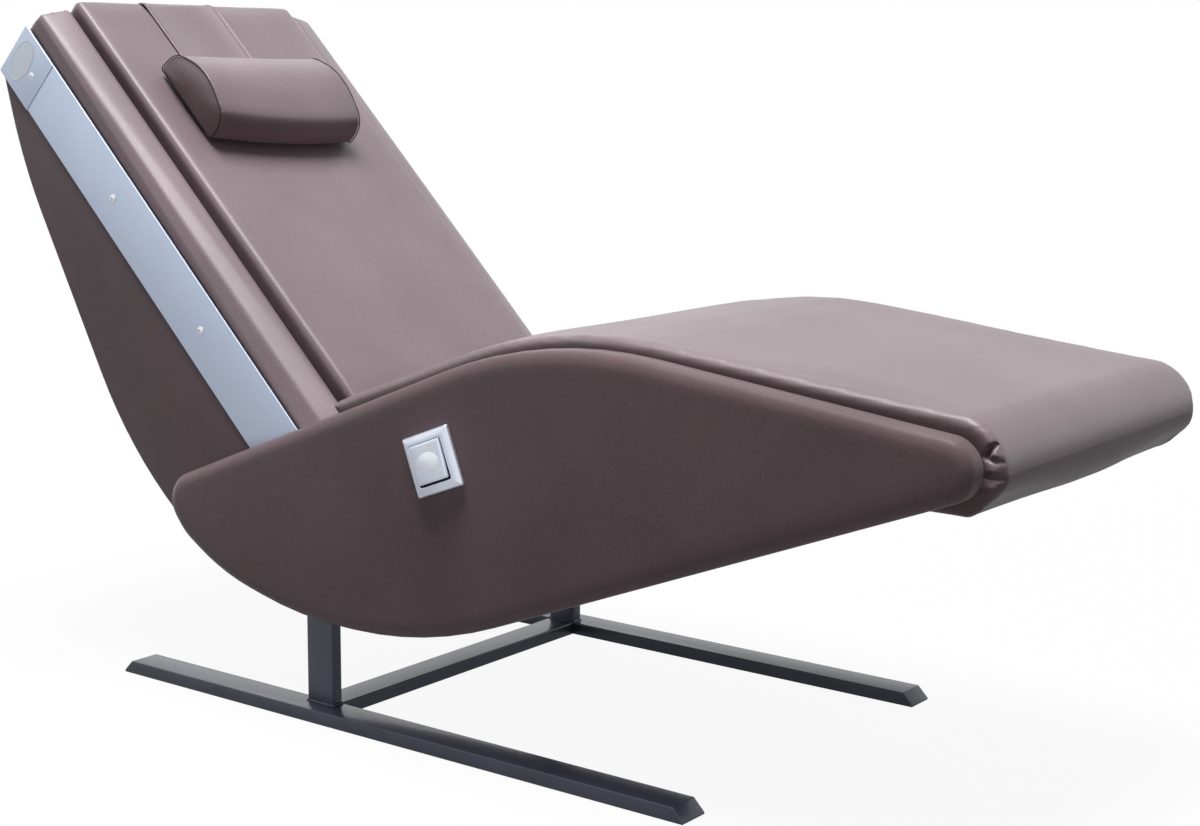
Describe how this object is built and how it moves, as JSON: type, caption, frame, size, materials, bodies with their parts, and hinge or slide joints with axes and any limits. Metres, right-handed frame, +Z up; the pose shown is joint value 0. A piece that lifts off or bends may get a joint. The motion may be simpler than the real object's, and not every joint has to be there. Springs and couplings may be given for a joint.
{
  "type": "massage lounger",
  "caption": "Upholstered massage lounger on a flat steel sled base, with side panels, a rocker switch, a sliding headrest pillow and a roller drive in the back.",
  "frame": {"origin": "on the floor, under the centre of the crossbar's underside", "axes": "+X from the head end to the foot end, +Y away from the switch side, +Z up"},
  "size_m": [1.7801, 0.6912, 1.0368],
  "materials": {
    "base_steel": "anthracite gloss powder coat",
    "leather": "brown imitation leather",
    "leather_side": "brown imitation leather, sides",
    "board": "plywood",
    "aluminium": "anodised, fine brushed",
    "bright_steel": "ground steel",
    "silver_plastic": "silver lacquered plastic",
    "black_plastic": "moulded plastic",
    "bronze": "sintered bronze",
    "roller_rubber": "firm rubber"
  },
  "bodies": {
    "root": {"rail_near": "base_steel", "rail_far": "base_steel", "crossbar": "base_steel", "post_near": "base_steel", "post_far": "base_steel", "post_plate_near": "base_steel", "post_plate_far": "base_steel", "tub_shell": "leather_side", "side_board_near": "leather_side", "side_board_far": "leather_side", "seat_board": "board", "back_slat_near": "board", "back_slat_far": "board", "back_slat_top": "board", "back_slat_bottom": "board", "seat_cushion": "leather", "back_cushion": "leather", "back_bolster_near": "leather", "back_bolster_far": "leather", "side_panel_near": "leather_side", "side_panel_far": "leather_side", "trim_strip_near": "aluminium", "trim_strip_far": "aluminium", "trim_end_near": "aluminium", "trim_end_far": "aluminium", "trim_screw_near_1": "bright_steel", "trim_screw_near_2": "bright_steel", "trim_screw_near_3": "bright_steel", "trim_screw_far_1": "bright_steel", "trim_screw_far_2": "bright_steel", "trim_screw_far_3": "bright_steel", "switch_frame": "silver_plastic", "switch_insert": "black_plastic", "headrest_strap": "leather", "cross_rail_lower": "board", "cross_rail_upper": "board", "guide_rod_near": "bright_steel", "guide_rod_far": "bright_steel", "screw_bearing_lower": "bright_steel", "screw_bearing_upper": "bright_steel", "gear_motor": "black_plastic", "power_supply": "black_plastic", "mains_inlet": "black_plastic"},
    "rocker": {"switch_rocker": "silver_plastic"},
    "pillow": {"headrest_pillow": "leather"},
    "counterweight": {"headrest_counterweight": "leather"},
    "carriage": {"carriage_frame": "base_steel", "travel_nut": "bronze", "roller_axle_head": "bright_steel", "roller_axle_foot": "bright_steel", "guide_bush_near_head": "bronze", "guide_bush_near_foot": "bronze", "guide_bush_far_head": "bronze", "guide_bush_far_foot": "bronze"},
    "screw": {"lead_screw": "bright_steel"},
    "roller_near_head": {"massage_roller_near_head": "roller_rubber"},
    "roller_near_foot": {"massage_roller_near_foot": "roller_rubber"},
    "roller_far_head": {"massage_roller_far_head": "roller_rubber"},
    "roller_far_foot": {"massage_roller_far_foot": "roller_rubber"}
  },
  "joints": [
    {"name": "rocker_tilt", "type": "hinge", "parent": "root", "child": "rocker", "pos_m": [0.262, -0.3425, 0.418], "axis": [0.9336, 0, 0.3584], "range_deg": [0, 7]},
    {"name": "pillow_slide", "type": "slide", "parent": "root", "child": "pillow", "axis": [0.7096, 0, -0.7046], "range_m": [0, 0.1]},
    {"name": "counterweight_slide", "type": "slide", "parent": "root", "child": "counterweight", "axis": [0, 0, 1], "range_m": [0, 0.1]},
    {"name": "carriage_travel", "type": "slide", "parent": "root", "child": "carriage", "axis": [-0.7096, 0, 0.7046], "range_m": [0, 0.4]},
    {"name": "screw_turn", "type": "hinge", "parent": "root", "child": "screw", "pos_m": [-0.33449, 0, 0.61402], "axis": [-0.7096, 0, 0.7046], "continuous": true},
    {"name": "roller_spin_near_head", "type": "hinge", "parent": "carriage", "child": "roller_near_head", "pos_m": [-0.20304, -0.074, 0.53493], "axis": [0, 1, 0], "continuous": true},
    {"name": "roller_spin_near_foot", "type": "hinge", "parent": "carriage", "child": "roller_near_foot", "pos_m": [-0.15195, -0.074, 0.48419], "axis": [0, 1, 0], "continuous": true},
    {"name": "roller_spin_far_head", "type": "hinge", "parent": "carriage", "child": "roller_far_head", "pos_m": [-0.20304, 0.074, 0.53493], "axis": [0, 1, 0], "continuous": true},
    {"name": "roller_spin_far_foot", "type": "hinge", "parent": "carriage", "child": "roller_far_foot", "pos_m": [-0.15195, 0.074, 0.48419], "axis": [0, 1, 0], "continuous": true}
  ],
  "couplings": [
    {"joint": "counterweight_slide", "follows": "pillow_slide", "ratio": 1},
    {"joint": "screw_turn", "follows": "carriage_travel", "rad_per_m": 314.16}
  ]
}
